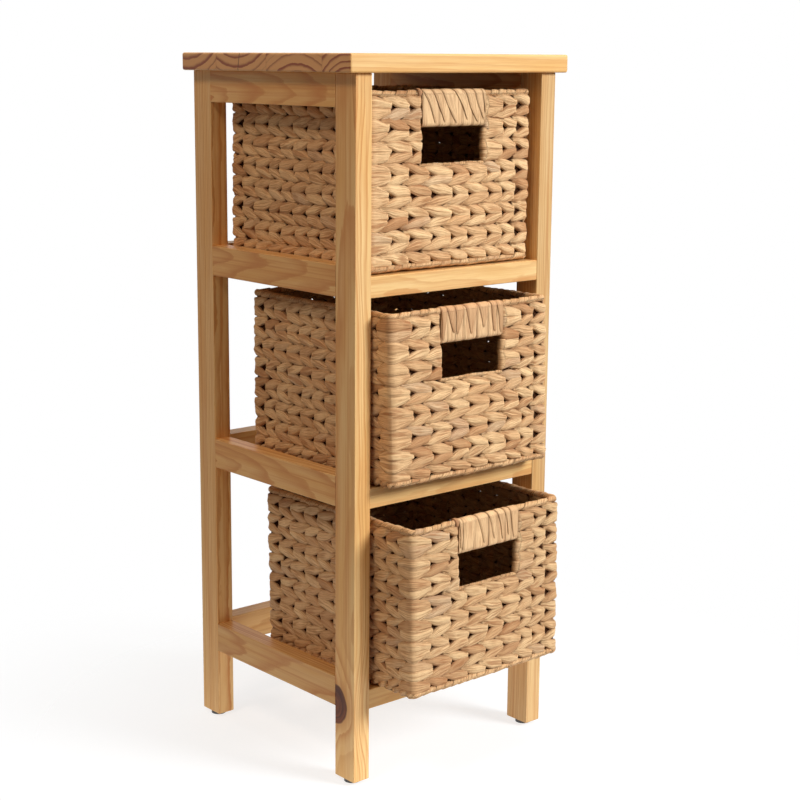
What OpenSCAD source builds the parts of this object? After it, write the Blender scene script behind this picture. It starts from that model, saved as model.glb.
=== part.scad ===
// Open pine tower with three tiers, each holding a loose woven basket with a hand hole.
// +Z is up, the baskets face -Y, and +X is to the right of someone who faces them.
// The origin is on the floor, in the middle of the whole object's footprint at rest.

/* [Frame] */
// Width over the outer faces of the legs
frame_w = 264; // [240:1:320]
// Depth from the legs' front faces to their back faces
frame_d = 265; // [240:1:330]
// Width of a leg, seen from the front
leg_w = 20; // [18:1:28]
// Depth of a leg, seen from the side
leg_d = 30; // [28:1:42]
// Height of the lowest rails above the legs' lower ends
foot_clear = 74; // [50:1:140]
// Height from one tier of rails to the next
tier_pitch = 207.5; // [195:0.5:250]
// Extra height of the top tier, under the top panel
top_tier_extra = 3.5; // [0:0.5:20]
// Radius on the long edges of legs and rails
edge_r = 0.8; // [0.4:0.1:2]
// Bevel round the lower ends of the legs
foot_bevel = 1.2; // [0.5:0.1:3]

/* [Top panel] */
// Thickness of the top panel
top_t = 18; // [15:1:28]
// Overhang of the top panel past the legs on each side
over_side = 11.3; // [4:0.1:25]
// Overhang of the top panel past the legs at the front
over_front = 6.5; // [2:0.5:20]
// Overhang of the top panel past the legs at the back
over_back = 4.5; // [1:0.5:20]
// Radius on the edges of the top panel
top_edge_r = 1.2; // [0.5:0.1:4]

/* [Rails] */
// Height of the side and back rails of a tier
rail_h = 31; // [27:0.5:42]
// Height of the rails under the top panel
top_rail_h = 32; // [28:0.5:42]
// Thickness of the side rails
side_rail_t = 20; // [17:0.5:26]
// Thickness of the back rails
back_rail_t = 20; // [15:0.5:26]
// Height of the flat rails that the baskets stand on
seat_rail_h = 20.5; // [16:0.5:26]
// Depth of the flat front rails
front_rail_d = 30; // [24:1:40]
// Depth of the flat support rails behind them
support_rail_d = 30; // [24:1:40]
// Set-back of the front rails behind the legs' front faces
front_set_back = 0.8; // [0:0.1:4]
// Distance of the support rails behind the legs' front faces
support_from_front = 130; // [110:1:150]

/* [Dowels, screws and glides] */
// Diameter of the dowels
dowel_d = 6; // [4:0.5:7]
// Length of the dowels
dowel_len = 30; // [24:1:34]
// How far a dowel reaches into the piece whose side it enters
dowel_bite = 10; // [7:0.5:11]
// Free length of a dowel's hole past each end of the dowel
dowel_end_gap = 0.8; // [0.2:0.1:1.5]
// Height between the two dowels of a side or back rail
dowel_spread = 16; // [10:0.5:18]
// Distance of the first front dowel behind the legs' front faces
front_dowel_inset = 6.5; // [5:0.5:7]
// Distance between the two dowels of a front rail
front_dowel_spread = 8.5; // [8:0.5:9]
// Distance between the two dowels of a support rail
support_dowel_spread = 15; // [10:0.5:16]
// Shank diameter of the screws that hold the top panel
screw_d = 4; // [3:0.5:5]
// Length of those screws under the head
screw_len = 40; // [32:1:42]
// How far those screws reach into the top panel
screw_bite = 12; // [9:0.5:14]
// Diameter of their heads
screw_head_d = 8; // [7:0.5:10]
// Height of their heads
screw_head_h = 3; // [2:0.5:3.5]
// Radial room round a head in its counterbore
head_room = 0.5; // [0.2:0.1:1]
// Width of the cross recess in a screw head
cross_w = 1; // [0.6:0.1:1.4]
// Distance of the screws from the front and back of the legs
screw_inset = 65; // [60:1:90]
// Diameter of the glides under the legs
glide_d = 16; // [12:0.5:19]
// Height of the glides
glide_h = 4; // [2:0.5:8]
// Diameter of a glide's nail
nail_d = 2.5; // [2:0.5:4]
// Length of a glide's nail inside the leg
nail_len = 14; // [8:1:20]

/* [Baskets] */
// Room between a centred basket and the legs on each side
side_gap = 6; // [5.5:0.5:16]
// Front to back room in a tier beyond a basket's depth
depth_gap = 16; // [12:1:50]
// Room over a basket, under the front rail of the next tier
head_gap = 13.2; // [6:0.1:30]
// Running gap between a basket and the rails that carry it
seat_gap = 0.3; // [0.2:0.1:1]
// Outer radius of a basket's upright corners
corner_r = 14; // [12:0.5:24]
// Thickness of the woven walls, crest to inside
weave_t = 8; // [7:0.5:9]
// Height of one course of the weave
course_h = 10.5; // [8:0.5:14]
// How far each course swells outwards
course_swell = 1.8; // [1:0.1:2.4]
// Thickness of the woven base
base_t = 8; // [6.5:0.5:8.5]
// Diameter of the wrapped rims
rim_d = 6.5; // [5.5:0.5:7]
// Height of the lower rim above the underside of the base
rim_lift = 2.5; // [1.5:0.5:3]
// Depth of the groove in the weave that seats a rim
rim_seat = 1; // [0.5:0.1:1.4]
// Diameter of the wire rings inside a basket's rims
wire_d = 3.5; // [3:0.5:4.5]
// Diameter of the upright wires that join the rings
post_d = 2.8; // [2:0.1:2.8]
// Diameter of the level wires over and under the hand hole
bar_d = 2; // [1.2:0.1:2]
// Width of the wrapped grip over the hand hole
grip_w = 82; // [78:1:110]
// Height of the wrapped grip, from the upper rim's crest
grip_h = 34.5; // [24:0.5:44]
// Width of the hand hole
hole_w = 80; // [60:1:88]
// Height of the hand hole
hole_h = 35; // [26:0.5:48]
// Weave between the hand hole and the wire round it
hole_skin = 2; // [1:0.5:4]

/* [Where the baskets stand at rest] */
// Upper basket's front, behind the legs' front faces
upper_set_back = 6; // [0:0.5:14]
// Middle basket's front, ahead of the legs' front faces
middle_pull = 24; // [0:0.5:60]
// Lower basket's front, ahead of the legs' front faces
lower_pull = 50.5; // [25:0.5:60]
// Upper basket's place to the right of the middle
upper_shift = -2.5; // [-4:0.5:4]
// Middle basket's place to the right of the middle
middle_shift = 0.5; // [-4:0.5:4]
// Lower basket's place to the right of the middle
lower_shift = -0.5; // [-4:0.5:4]

/* [Hidden] */
pine = "#E9C184";
pine_shade = "#DDB173";
beech = "#CDA877";
hyacinth = "#C79B66";
hyacinth_light = "#D6B07C";
wire_steel = "#6F6A63";
screw_steel = "#A9ABAD";
glide_grey = "#3B3A3A";

tiers = 3;
top_level = 3;
left = -1;
right = 1;
front = -1;
back = 1;

leg_len = foot_clear + tiers * tier_pitch + top_tier_extra;
leg_top = glide_h + leg_len;

// The object reaches from the lowest basket's front to the back of the top panel.
leg_front = -(frame_d + over_back - lower_pull) / 2;
leg_back = leg_front + frame_d;
leg_x = frame_w / 2 - leg_w / 2;

bay_w = frame_w - 2 * leg_w;
bay_d = frame_d - back_rail_t;
side_rail_len = frame_d - 2 * leg_d;
side_rail_x = frame_w / 2 - side_rail_t / 2;
support_len = frame_w - 2 * side_rail_t;

basket_w = bay_w - 2 * side_gap;
basket_d = bay_d - depth_gap;
basket_h = tier_pitch - seat_rail_h - seat_gap - head_gap;
basket_front = [-lower_pull, -middle_pull, upper_set_back];
basket_shift = [lower_shift, middle_shift, upper_shift];

// Heights inside a basket, from the underside of its base
lower_rim_z = rim_lift + rim_d / 2;
upper_rim_z = basket_h - rim_d / 2;
wall_low = lower_rim_z + rim_d / 2 - rim_seat;
wall_high = upper_rim_z - rim_d / 2 + rim_seat;
courses = floor((wall_high - wall_low) / course_h);
course_step = (wall_high - wall_low) / courses;
course_r = (pow(course_step / 2, 2) + pow(course_swell, 2)) / (2 * course_swell);
hole_top = basket_h - grip_h;
hole_low = hole_top - hole_h;

// The middle line of a basket's walls, on which its rims and wires run
path_w = basket_w - weave_t;
path_d = basket_d - weave_t;
path_r = corner_r - weave_t / 2;
base_inset = weave_t / 2 + wire_d / 2;

cut = 1;
fine = 48;

function rail_low(level) =
    level == top_level ? leg_top - top_rail_h : glide_h + foot_clear + level * tier_pitch;
function rail_height(level) = level == top_level ? top_rail_h : rail_h;
function rail_mid(level) = rail_low(level) + rail_height(level) / 2;
function seat_z(level) = rail_low(level) + seat_rail_h + seat_gap;

// Flat shapes

module rounded_rect(w, d, r) {
    square([w - 2 * r, d], center = true);
    square([w, d - 2 * r], center = true);
    for (x = [-1, 1], y = [-1, 1])
        translate([x * (w / 2 - r), y * (d / 2 - r)])
            circle(r = r, $fn = fine);
}

module footed_outline(w, h, bevel) {
    polygon([[-w / 2, bevel], [-w / 2 + bevel, 0], [w / 2 - bevel, 0], [w / 2, bevel],
        [w / 2, h], [-w / 2, h]]);
}

// A flat profile carried round a rounded rectangle, with its own x pointing outwards
module ring(w, d, r) {
    for (turn = [0:3]) {
        along = turn % 2 == 0 ? d : w;
        across = turn % 2 == 0 ? w : d;
        rotate(turn * 90) {
            translate([across / 2, along / 2 - r, 0])
                rotate([90, 0, 0])
                    linear_extrude(along - 2 * r) children();
            translate([across / 2 - r, along / 2 - r, 0])
                rotate_extrude(angle = 90, $fn = fine)
                    translate([r, 0]) children();
        }
    }
}

module rod_x(length, d) {
    rotate([0, 90, 0]) cylinder(h = length, d = d, center = true, $fn = fine);
}

module rod_y(length, d) {
    rotate([90, 0, 0]) cylinder(h = length, d = d, center = true, $fn = fine);
}

// Joinery

// Dowels between a leg and the end of a side rail; slack lengthens them into holes
module side_joint(side, end, level, slack) {
    reach = dowel_len + 2 * slack;
    into_rail = dowel_len - dowel_bite;
    joint_y = end == front ? leg_front + leg_d : leg_back - leg_d;
    middle_y = joint_y - end * (into_rail - dowel_bite) / 2;
    dowel_x = frame_w / 2 - min(leg_w, side_rail_t) / 2;
    for (step = [-1, 1])
        translate([side * dowel_x, middle_y, rail_mid(level) + step * dowel_spread / 2])
            rod_y(reach, dowel_d);
}

// One dowel across a joint whose plane is joint_x from the middle
module cross_dowel(side, joint_x, y, z, slack) {
    into_rail = dowel_len - dowel_bite;
    translate([side * (joint_x - (into_rail - dowel_bite) / 2), y, z])
        rod_x(dowel_len + 2 * slack, dowel_d);
}

module front_joint(side, level, slack) {
    for (step = [0, 1])
        cross_dowel(side, bay_w / 2,
            leg_front + front_dowel_inset + step * front_dowel_spread,
            rail_low(level) + seat_rail_h / 2, slack);
}

module support_joint(side, level, slack) {
    middle_y = leg_front + support_from_front + support_rail_d / 2;
    for (step = [-1, 1])
        cross_dowel(side, support_len / 2, middle_y + step * support_dowel_spread / 2,
            rail_low(level) + seat_rail_h / 2, slack);
}

module back_joint(side, level, slack) {
    for (step = [-1, 1])
        cross_dowel(side, bay_w / 2, leg_back - back_rail_t / 2,
            rail_mid(level) + step * dowel_spread / 2, slack);
}

// Frame pieces

module leg(side, end) {
    leg_y = end == front ? leg_front + leg_d / 2 : leg_back - leg_d / 2;
    difference() {
        translate([side * leg_x, leg_y, glide_h])
            intersection() {
                linear_extrude(leg_len) rounded_rect(leg_w, leg_d, edge_r);
                translate([0, leg_d / 2 + cut, 0]) rotate([90, 0, 0])
                    linear_extrude(leg_d + 2 * cut) footed_outline(leg_w, leg_len, foot_bevel);
                translate([-leg_w / 2 - cut, 0, 0]) rotate([90, 0, 90])
                    linear_extrude(leg_w + 2 * cut) footed_outline(leg_d, leg_len, foot_bevel);
            }
        for (level = [0:top_level]) side_joint(side, end, level, dowel_end_gap);
        for (level = [0:tiers - 1])
            if (end == front) front_joint(side, level, dowel_end_gap);
            else back_joint(side, level, dowel_end_gap);
        translate([side * leg_x, leg_y, glide_h - cut])
            cylinder(h = nail_len + cut, d = nail_d, $fn = fine);
    }
}

module side_rail(side, level) {
    difference() {
        translate([side * side_rail_x, leg_back - leg_d, rail_mid(level)])
            rotate([90, 0, 0])
                linear_extrude(side_rail_len)
                    rounded_rect(side_rail_t, rail_height(level), edge_r);
        for (end = [front, back]) side_joint(side, end, level, dowel_end_gap);
        if (level == top_level) top_screw_holes(side);
        else support_joint(side, level, dowel_end_gap);
    }
}

module cross_rail(length, depth, height, y, z) {
    translate([-length / 2, y + depth / 2, z + height / 2])
        rotate([90, 0, 90])
            linear_extrude(length) rounded_rect(depth, height, edge_r);
}

module front_rail(level) {
    difference() {
        cross_rail(bay_w, front_rail_d, seat_rail_h, leg_front + front_set_back, rail_low(level));
        for (side = [left, right]) front_joint(side, level, dowel_end_gap);
    }
}

module support_rail(level) {
    difference() {
        cross_rail(support_len, support_rail_d, seat_rail_h, leg_front + support_from_front,
            rail_low(level));
        for (side = [left, right]) support_joint(side, level, dowel_end_gap);
    }
}

module back_rail(level) {
    difference() {
        cross_rail(bay_w, back_rail_t, rail_h, leg_back - back_rail_t, rail_low(level));
        for (side = [left, right]) back_joint(side, level, dowel_end_gap);
    }
}

module top_panel_blank() {
    w = frame_w + 2 * over_side;
    d = frame_d + over_front + over_back;
    translate([0, leg_front - over_front + d / 2, leg_top + top_t / 2])
        intersection() {
            linear_extrude(top_t, center = true) rounded_rect(w, d, top_edge_r);
            rotate([90, 0, 0]) linear_extrude(d, center = true) rounded_rect(w, top_t, top_edge_r);
            rotate([90, 0, 90]) linear_extrude(w, center = true) rounded_rect(d, top_t, top_edge_r);
        }
}

// Screws and glides

module top_screw_places(side) {
    for (y = [leg_front + screw_inset, leg_back - screw_inset])
        translate([side * side_rail_x, y, leg_top + screw_bite - screw_len]) children();
}

module top_screw() {
    cylinder(h = screw_len, d = screw_d, $fn = fine);
    translate([0, 0, -screw_head_h])
        difference() {
            cylinder(h = screw_head_h, d = screw_head_d, $fn = fine);
            for (turn = [0, 90])
                rotate(turn)
                    translate([-screw_head_d / 4, -cross_w / 2, -cut])
                        cube([screw_head_d / 2, cross_w, cut + screw_head_h / 2]);
        }
}

module top_screw_holes(side) {
    top_screw_places(side) {
        cylinder(h = screw_len, d = screw_d, $fn = fine);
        translate([0, 0, -top_rail_h])
            cylinder(h = top_rail_h, d = screw_head_d + 2 * head_room, $fn = fine);
    }
}

module glide() {
    cylinder(h = glide_h, d = glide_d, $fn = fine);
    translate([0, 0, glide_h]) cylinder(h = nail_len, d = nail_d, $fn = fine);
}

// Basket pieces, in a frame whose origin is under the middle of the basket

module place_basket(level) {
    translate([basket_shift[level], leg_front + basket_front[level] + basket_d / 2,
        seat_z(level)])
        children();
}

module basket_wires() {
    for (z = [lower_rim_z, upper_rim_z])
        ring(path_w, path_d, path_r) translate([0, z]) circle(d = wire_d, $fn = fine);
    for (x = [-1, 1], y = [-1, 1])
        translate([x * (path_w / 2 - path_r + path_r * cos(45)),
            y * (path_d / 2 - path_r + path_r * sin(45)), lower_rim_z])
            cylinder(h = upper_rim_z - lower_rim_z, d = post_d, $fn = fine);
    hole_frame();
}

// The wires round the hand hole, which hang from the upper ring
module hole_frame() {
    post_x = max(grip_w, hole_w) / 2 + hole_skin + post_d / 2;
    low_z = hole_low - hole_skin - bar_d / 2;
    high_z = hole_top + hole_skin + bar_d / 2;
    translate([0, -path_d / 2, 0]) {
        for (x = [-1, 1])
            translate([x * post_x, 0, low_z - post_d / 2])
                cylinder(h = upper_rim_z - low_z + post_d / 2, d = post_d, $fn = fine);
        for (z = [low_z, high_z])
            translate([0, 0, z]) rod_x(2 * post_x, bar_d);
    }
}

// The wrapped bar over the hand hole, as thick as the weave and round above and below
module grip_solid() {
    r = weave_t / 2;
    translate([-grip_w / 2, -path_d / 2, basket_h - grip_h / 2])
        rotate([90, 0, 90])
            linear_extrude(grip_w) {
                square([weave_t, grip_h - 2 * r], center = true);
                for (step = [-1, 1])
                    translate([0, step * (grip_h / 2 - r)]) circle(r = r, $fn = fine);
            }
}

module hand_hole() {
    translate([-hole_w / 2, -path_d / 2 - weave_t, hole_low])
        cube([hole_w, 2 * weave_t, hole_h]);
}

module rim_tube(z) {
    ring(path_w, path_d, path_r) translate([0, z]) circle(d = rim_d, $fn = fine);
}

// Courses of the weave swell outwards; the inside is taken as smooth
module wall_profile() {
    intersection() {
        translate([-weave_t / 2, wall_low]) square([weave_t, wall_high - wall_low]);
        for (course = [0:courses - 1])
            translate([weave_t / 2 - course_r, wall_low + (course + 0.5) * course_step])
                circle(r = course_r, $fn = fine);
    }
}

module basket_walls() {
    difference() {
        ring(path_w, path_d, path_r) wall_profile();
        rim_tube(lower_rim_z);
        rim_tube(upper_rim_z);
        grip_room();
        hand_hole();
        basket_wires();
    }
}

// The weave stops at the grip's ends and under its lower edge
module grip_room() {
    translate([-grip_w / 2, -path_d / 2 - weave_t, hole_top])
        cube([grip_w, 2 * weave_t, grip_h + cut]);
}

module basket_base() {
    difference() {
        linear_extrude(base_t)
            rounded_rect(basket_w - 2 * base_inset, basket_d - 2 * base_inset,
                corner_r - base_inset);
        rim_tube(lower_rim_z);
        basket_wires();
    }
}

module basket_top_rim() {
    difference() {
        rim_tube(upper_rim_z);
        grip_room();
        basket_wires();
    }
}

module basket_bottom_rim() {
    difference() {
        rim_tube(lower_rim_z);
        basket_wires();
    }
}

module basket_grip() {
    difference() {
        grip_solid();
        basket_wires();
    }
}

// Nodes

module top_panel() {
    color(pine) difference() {
        top_panel_blank();
        for (side = [left, right])
            top_screw_places(side) cylinder(h = screw_len, d = screw_d, $fn = fine);
    }
}

module front_left_leg() { color(pine) leg(left, front); }
module front_right_leg() { color(pine) leg(right, front); }
module back_left_leg() { color(pine) leg(left, back); }
module back_right_leg() { color(pine) leg(right, back); }

module left_top_rail() { color(pine_shade) side_rail(left, top_level); }
module right_top_rail() { color(pine_shade) side_rail(right, top_level); }
module left_upper_rail() { color(pine_shade) side_rail(left, 2); }
module right_upper_rail() { color(pine_shade) side_rail(right, 2); }
module left_middle_rail() { color(pine_shade) side_rail(left, 1); }
module right_middle_rail() { color(pine_shade) side_rail(right, 1); }
module left_lower_rail() { color(pine_shade) side_rail(left, 0); }
module right_lower_rail() { color(pine_shade) side_rail(right, 0); }

module front_upper_rail() { color(pine_shade) front_rail(2); }
module front_middle_rail() { color(pine_shade) front_rail(1); }
module front_lower_rail() { color(pine_shade) front_rail(0); }
module support_upper_rail() { color(pine_shade) support_rail(2); }
module support_middle_rail() { color(pine_shade) support_rail(1); }
module support_lower_rail() { color(pine_shade) support_rail(0); }
module back_upper_rail() { color(pine_shade) back_rail(2); }
module back_middle_rail() { color(pine_shade) back_rail(1); }
module back_lower_rail() { color(pine_shade) back_rail(0); }

module side_dowels() {
    color(beech)
        for (side = [left, right], end = [front, back], level = [0:top_level])
            side_joint(side, end, level, 0);
}

module cross_dowels() {
    color(beech)
        for (side = [left, right], level = [0:tiers - 1]) {
            front_joint(side, level, 0);
            support_joint(side, level, 0);
            back_joint(side, level, 0);
        }
}

module top_screws() {
    color(screw_steel)
        for (side = [left, right]) top_screw_places(side) top_screw();
}

module foot_glides() {
    color(glide_grey)
        for (side = [left, right], y = [leg_front + leg_d / 2, leg_back - leg_d / 2])
            translate([side * leg_x, y, 0]) glide();
}

module upper_basket_walls() { color(hyacinth) place_basket(2) basket_walls(); }
module upper_basket_base() { color(hyacinth) place_basket(2) basket_base(); }
module upper_basket_top_rim() { color(hyacinth_light) place_basket(2) basket_top_rim(); }
module upper_basket_bottom_rim() { color(hyacinth_light) place_basket(2) basket_bottom_rim(); }
module upper_basket_grip() { color(hyacinth_light) place_basket(2) basket_grip(); }
module upper_basket_wires() { color(wire_steel) place_basket(2) basket_wires(); }

module middle_basket_walls() { color(hyacinth) place_basket(1) basket_walls(); }
module middle_basket_base() { color(hyacinth) place_basket(1) basket_base(); }
module middle_basket_top_rim() { color(hyacinth_light) place_basket(1) basket_top_rim(); }
module middle_basket_bottom_rim() { color(hyacinth_light) place_basket(1) basket_bottom_rim(); }
module middle_basket_grip() { color(hyacinth_light) place_basket(1) basket_grip(); }
module middle_basket_wires() { color(wire_steel) place_basket(1) basket_wires(); }

module lower_basket_walls() { color(hyacinth) place_basket(0) basket_walls(); }
module lower_basket_base() { color(hyacinth) place_basket(0) basket_base(); }
module lower_basket_top_rim() { color(hyacinth_light) place_basket(0) basket_top_rim(); }
module lower_basket_bottom_rim() { color(hyacinth_light) place_basket(0) basket_bottom_rim(); }
module lower_basket_grip() { color(hyacinth_light) place_basket(0) basket_grip(); }
module lower_basket_wires() { color(wire_steel) place_basket(0) basket_wires(); }

top_panel();
front_left_leg();
front_right_leg();
back_left_leg();
back_right_leg();
left_top_rail();
right_top_rail();
left_upper_rail();
right_upper_rail();
left_middle_rail();
right_middle_rail();
left_lower_rail();
right_lower_rail();
front_upper_rail();
front_middle_rail();
front_lower_rail();
support_upper_rail();
support_middle_rail();
support_lower_rail();
back_upper_rail();
back_middle_rail();
back_lower_rail();
side_dowels();
cross_dowels();
top_screws();
foot_glides();
upper_basket_walls();
upper_basket_base();
upper_basket_top_rim();
upper_basket_bottom_rim();
upper_basket_grip();
upper_basket_wires();
middle_basket_walls();
middle_basket_base();
middle_basket_top_rim();
middle_basket_bottom_rim();
middle_basket_grip();
middle_basket_wires();
lower_basket_walls();
lower_basket_base();
lower_basket_top_rim();
lower_basket_bottom_rim();
lower_basket_grip();
lower_basket_wires();
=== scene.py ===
import math

import bmesh
import bpy
import numpy as np
from mathutils import Matrix, Vector

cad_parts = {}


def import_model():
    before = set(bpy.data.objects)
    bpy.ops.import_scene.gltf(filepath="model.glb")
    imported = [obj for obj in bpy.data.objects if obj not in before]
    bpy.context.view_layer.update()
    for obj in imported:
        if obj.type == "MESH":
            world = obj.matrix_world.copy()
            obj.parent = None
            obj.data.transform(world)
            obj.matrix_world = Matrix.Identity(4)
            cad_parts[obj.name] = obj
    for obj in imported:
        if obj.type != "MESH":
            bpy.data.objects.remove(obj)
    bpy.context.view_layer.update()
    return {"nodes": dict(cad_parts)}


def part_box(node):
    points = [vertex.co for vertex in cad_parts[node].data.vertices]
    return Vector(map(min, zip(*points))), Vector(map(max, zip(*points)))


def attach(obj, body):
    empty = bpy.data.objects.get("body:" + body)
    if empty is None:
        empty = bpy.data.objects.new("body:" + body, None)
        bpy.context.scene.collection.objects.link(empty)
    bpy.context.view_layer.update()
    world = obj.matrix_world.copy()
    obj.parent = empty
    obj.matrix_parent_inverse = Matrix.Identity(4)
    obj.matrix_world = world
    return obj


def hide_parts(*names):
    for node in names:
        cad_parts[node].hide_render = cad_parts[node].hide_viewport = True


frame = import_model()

MM = 0.001  # one millimetre in metres

# Camera, fitted to the edges of the frame in the photograph

PHOTO_WIDTH = 800
FOCAL_LENGTH = 1676.27                  # pixels of the photograph
PICTURE_SHIFT = (16.0, 1.7)             # pixels, sideways and up
SENSOR_WIDTH = 36
EYE_ANGLES = (40.459, 11.629, 0.368)    # yaw, pitch and roll in degrees
EYE_PLACE = (-1.1299, -1.2131, 0.7188)  # metres, y from the front legs' faces


def camera():
    yaw, pitch, roll = (math.radians(angle) for angle in EYE_ANGLES)
    look = Vector((math.sin(yaw) * math.cos(pitch), math.cos(yaw) * math.cos(pitch), -math.sin(pitch)))
    level = Vector((math.cos(yaw), -math.sin(yaw), 0))
    up = level.cross(look)
    right = level * math.cos(roll) + up * math.sin(roll)
    up = up * math.cos(roll) - level * math.sin(roll)
    data = bpy.data.cameras.new("camera")
    data.sensor_width = SENSOR_WIDTH
    data.lens = SENSOR_WIDTH * FOCAL_LENGTH / PHOTO_WIDTH
    data.shift_x, data.shift_y = (pixels / PHOTO_WIDTH for pixels in PICTURE_SHIFT)
    data.clip_end = 60
    cam = bpy.data.objects.new("camera", data)
    x, y, z = EYE_PLACE
    place = Matrix.Translation((x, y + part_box("front_left_leg")[0].y, z))
    cam.matrix_world = place @ Matrix((right, up, -look)).transposed().to_4x4()
    bpy.context.scene.collection.objects.link(cam)
    bpy.context.scene.camera = cam


# Node trees

class Graph:
    """Builds the node tree of a material or a world with short calls."""

    def __init__(self, owner):
        owner.use_nodes = True
        self.tree = owner.node_tree
        self.tree.nodes.clear()

    def add(self, kind, **settings):
        node = self.tree.nodes.new("ShaderNode" + kind)
        for key, value in settings.items():
            setattr(node, key, value)
        return node

    def link(self, output, socket):
        self.tree.links.new(output, socket)

    def put(self, socket, value):
        """Links a node's output to the socket, or stores a constant there."""
        if isinstance(value, bpy.types.NodeSocket):
            self.link(value, socket)
        else:
            socket.default_value = value

    def fill(self, node, *values, **named):
        """Sets a node's first sockets in their order and others by name, with _ for a space."""
        for socket, value in zip(node.inputs, values):
            self.put(socket, value)
        for name, value in named.items():
            self.put(node.inputs[name.replace("_", " ")], value)
        return node.outputs[0]

    def math(self, operation, *values):
        return self.fill(self.add("Math", operation=operation), *values)

    def plus(self, a, b):
        return self.math("ADD", a, b)

    def minus(self, a, b):
        return self.math("SUBTRACT", a, b)

    def times(self, a, b):
        return self.math("MULTIPLY", a, b)

    def line(self, a, slope, start):
        return self.math("MULTIPLY_ADD", a, slope, start)

    def gap(self, a, b):
        """The distance between two values."""
        return self.math("ABSOLUTE", self.minus(a, b))

    def length(self, a, b):
        """The length of a line that reaches a one way and b the other way."""
        return self.math("SQRT", self.plus(self.times(a, a), self.times(b, b)))

    def combine(self, x, y, z):
        return self.fill(self.add("CombineXYZ"), x, y, z)

    def separate(self, vector):
        node = self.add("SeparateXYZ")
        self.fill(node, vector)
        return node.outputs

    def noise(self, vector, scale=1.0, detail=2.0, rough=0.5, distort=0.0):
        return self.fill(self.add("TexNoise"), Vector=vector, Scale=scale, Detail=detail, Roughness=rough,
                         Distortion=distort)

    def white(self, value):
        return self.fill(self.add("TexWhiteNoise", noise_dimensions="1D"), W=value)

    def ramp(self, fac, stops, mode="LINEAR"):
        """A colour ramp of (place, colour) stops. A plain number there is a grey."""
        node = self.add("ValToRGB")
        node.color_ramp.interpolation = mode
        elements = node.color_ramp.elements
        while len(elements) < len(stops):
            elements.new(0.5)
        for element, (place, colour) in zip(elements, stops):
            element.position = place
            element.color = (*colour, 1) if isinstance(colour, tuple) else (colour, colour, colour, 1)
        return self.fill(node, fac)

    def mix(self, fac, a, b, mode="MIX"):
        node = self.add("Mix", data_type="RGBA", blend_type=mode)
        self.put(node.inputs[0], fac)
        for socket, value in ((node.inputs[6], a), (node.inputs[7], b)):
            self.put(socket, (*value, 1) if isinstance(value, tuple) else value)
        return node.outputs[2]

    def step(self, value, low, high, to_low=0.0, to_high=1.0):
        node = self.add("MapRange", interpolation_type="SMOOTHSTEP")
        return self.fill(node, value, low, high, to_low, to_high)

    def attribute(self, name):
        return self.add("Attribute", attribute_name=name).outputs["Fac"]


class Surface(Graph):
    """A material with one shader."""

    def __init__(self, name):
        self.material = bpy.data.materials.new(name)
        super().__init__(self.material)
        self.out = self.add("OutputMaterial")
        self.shader = self.add("BsdfPrincipled")
        self.link(self.shader.outputs[0], self.out.inputs[0])
        self.place = self.add("TexCoord").outputs["Object"]

    def shade(self, **values):
        self.fill(self.shader, **values)

    def bump(self, height, strength, distance):
        self.shade(Normal=self.fill(self.add("Bump"), Height=height, Strength=strength, Distance=distance))


def linear(red, green, blue):
    """The linear colour of an 8-bit one."""
    shares = (value / 255 for value in (red, green, blue))
    return tuple(c / 12.92 if c <= 0.04045 else ((c + 0.055) / 1.055) ** 2.4 for c in shares)


# Pine

PALE = linear(248, 213, 152)
HONEY = linear(240, 195, 126)
LATE = linear(204, 134, 68)
STREAK = linear(212, 146, 82)
FIBRE = linear(226, 178, 118)
END_PALE = linear(226, 179, 126)
END_LATE = linear(146, 80, 44)
CRACK = linear(84, 40, 20)
KNOT = (linear(124, 66, 32), linear(72, 34, 16))
KNOT_HALO = linear(186, 116, 52)
KNOT_EDGE = linear(76, 34, 18)

YEAR = [(0.0, 0.0), (0.36, 0.06), (0.66, 0.55), (0.86, 1.0), (0.955, 0.8), (1.0, 0.0)]
STAVES_SPAN = 400.0                    # the range of places that a colour ramp holds
STAVES_LOW, PITHS_LOW = -200.0, 500.0  # where that range starts, sideways and upwards
CRACK_AT = (59.3, 713.0)               # a point of the crack in the top's end, y and z
CRACK_SLOPE = -0.18


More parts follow.
